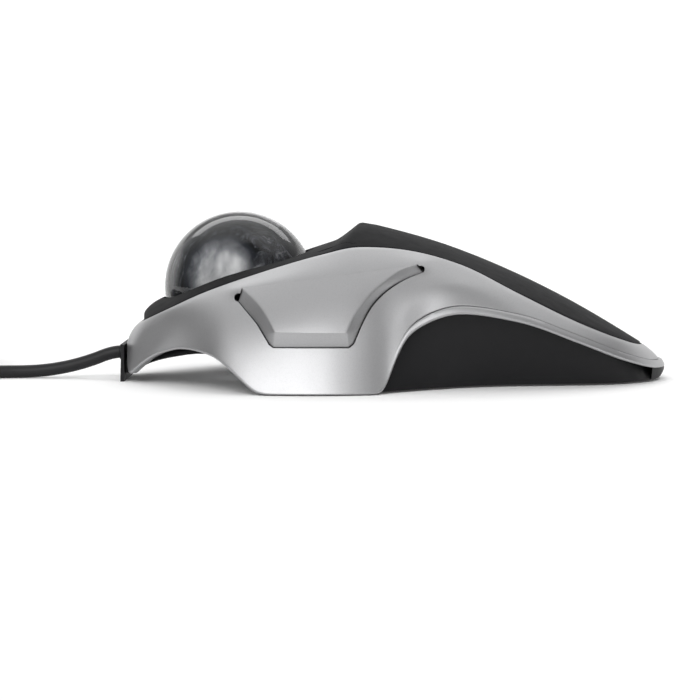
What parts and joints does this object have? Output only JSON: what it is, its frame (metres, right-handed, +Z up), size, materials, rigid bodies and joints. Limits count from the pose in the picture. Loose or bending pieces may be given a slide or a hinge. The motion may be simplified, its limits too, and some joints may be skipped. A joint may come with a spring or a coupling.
{
  "type": "trackball mouse",
  "caption": "Low ambidextrous desk trackball: pearl ball in a sloping dark deck, flexing silver side buttons, arched palm rest and a coiled USB cord.",
  "frame": {"origin": "on the desk, under the centre of the object's box, cord left out", "axes": "+X from the cord's end to the palm's end (the length), +Y to the right-hand button, +Z up"},
  "size_m": [0.2419, 0.102, 0.0445],
  "materials": {
    "silver_paint": "satin metallic paint on moulded plastic",
    "dark_plastic": "fine matte",
    "black_plastic": "satin",
    "clear_resin": "polished clear resin",
    "pearl_resin": "dark pearl swirl",
    "bearing_steel": "polished",
    "circuit_board": "solder mask",
    "chip_plastic": "matte",
    "tin_plate": "satin plated",
    "lens_plastic": "clear",
    "led_red": "clear tinted",
    "connector_white": "matte",
    "capacitor_sleeve": "gloss sleeve",
    "switch_black": "matte",
    "switch_red": "matte",
    "cord_black": "matte PVC",
    "foot_rubber": "matte",
    "screw_steel": "zinc plated"
  },
  "bodies": {
    "housing": {"upper_housing": "silver_paint", "top_cover": "dark_plastic", "bottom_housing": "black_plastic", "ball_cup": "black_plastic", "bearing_1": "bearing_steel", "bearing_2": "bearing_steel", "bearing_3": "bearing_steel", "sensor_board": "circuit_board", "optical_sensor": "chip_plastic", "sensor_lens": "lens_plastic", "sensor_led": "led_red", "main_board": "circuit_board", "left_switch": "switch_black", "right_switch": "switch_black", "usb_controller": "chip_plastic", "crystal": "tin_plate", "capacitor": "capacitor_sleeve", "cord_header": "connector_white", "cord_crimp_plug": "connector_white", "sensor_ribbon": "connector_white", "foot_left": "foot_rubber", "foot_right": "foot_rubber", "foot_rear": "foot_rubber", "cord_grommet": "cord_black", "inner_cable": "cord_black", "cable": "cord_black", "cable_coil": "cord_black", "usb_plug_body": "cord_black", "usb_plug_shell": "tin_plate", "usb_plug_tongue": "connector_white", "housing_screw_1": "screw_steel", "housing_screw_2": "screw_steel", "housing_screw_3": "screw_steel", "housing_screw_4": "screw_steel", "board_screw_1": "screw_steel", "cup_screw_1": "screw_steel", "board_screw_2": "screw_steel", "cup_screw_2": "screw_steel"},
    "left_button": {"left_button": "silver_paint"},
    "right_button": {"right_button": "silver_paint"},
    "ball_shell": {"ball_shell": "clear_resin"},
    "ball_core": {"ball_core": "pearl_resin"},
    "left_plunger": {"left_switch_plunger": "switch_red"},
    "right_plunger": {"right_switch_plunger": "switch_red"}
  },
  "joints": [
    {"name": "left_press", "type": "hinge", "parent": "housing", "child": "left_button", "pos_m": [-0.01625, -0.03064, 0.0271], "axis": [0.9881, 0.0343, 0.15], "range_deg": [0, 1.3], "stiffness_Nm_per_rad": 0.6},
    {"name": "right_press", "type": "hinge", "parent": "housing", "child": "right_button", "pos_m": [-0.01625, 0.03064, 0.0271], "axis": [-0.9881, 0.0343, -0.15], "range_deg": [0, 1.3], "stiffness_Nm_per_rad": 0.6},
    {"name": "left_click", "type": "slide", "parent": "housing", "child": "left_plunger", "axis": [0, 1, 0], "range_m": [0, 0.0004]},
    {"name": "right_click", "type": "slide", "parent": "housing", "child": "right_plunger", "axis": [0, -1, 0], "range_m": [0, 0.0004]},
    {"name": "ball_pitch", "type": "hinge", "parent": "housing", "child": "ball_shell", "pos_m": [-0.041, 0, 0.0245], "axis": [0, 1, 0], "continuous": true},
    {"name": "ball_roll", "type": "hinge", "parent": "ball_shell", "child": "ball_core", "pos_m": [-0.041, 0, 0.0245], "axis": [1, 0, 0], "continuous": true}
  ],
  "couplings": [
    {"joint": "left_click", "follows": "left_press", "m_per_rad": 0.01322},
    {"joint": "right_click", "follows": "right_press", "m_per_rad": 0.01322}
  ]
}
